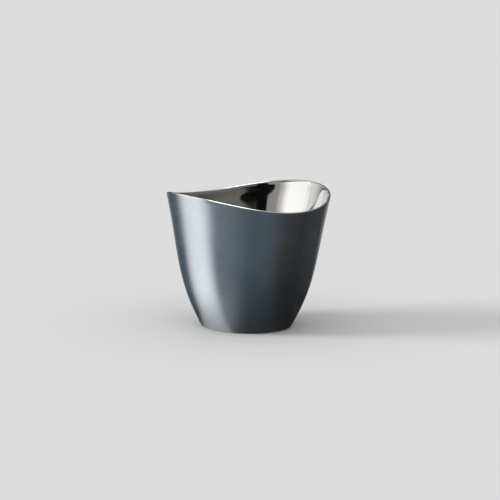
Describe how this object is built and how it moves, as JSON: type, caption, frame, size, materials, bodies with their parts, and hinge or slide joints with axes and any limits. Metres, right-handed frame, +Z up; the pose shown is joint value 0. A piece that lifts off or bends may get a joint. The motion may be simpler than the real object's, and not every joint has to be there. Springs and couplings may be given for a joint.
{
  "type": "champagne bucket",
  "caption": "Double-walled steel champagne bucket with a wavy rim, satin outside, polished inside, on a non-slip foot ring.",
  "frame": {"origin": "on the axis of the bucket, at the level of the surface it stands on", "axes": "+Z up along the bucket's axis; the rim rises towards +X and -X and dips towards +Y and -Y, so +X is the long way across the mouth"},
  "size_m": [0.2544, 0.2452, 0.2137],
  "materials": {
    "satin_steel": "stainless steel with a fine satin finish, slightly blue-grey",
    "polished_steel": "stainless steel polished to a mirror",
    "bead_steel": "stainless steel weld bead, rounded and polished bright",
    "spun_steel": "stainless steel with fine turned rings",
    "black_silicone": "matt black silicone rubber",
    "plug_silicone": "matt black silicone rubber",
    "grey_felt": "dense pressed grey felt"
  },
  "bodies": {
    "root": {"outer_shell": "satin_steel", "inner_liner": "polished_steel", "rim_bead": "bead_steel", "base_plate": "spun_steel", "foot_ring": "black_silicone", "vent_plug": "plug_silicone", "support_pad": "grey_felt"}
  },
  "joints": []
}
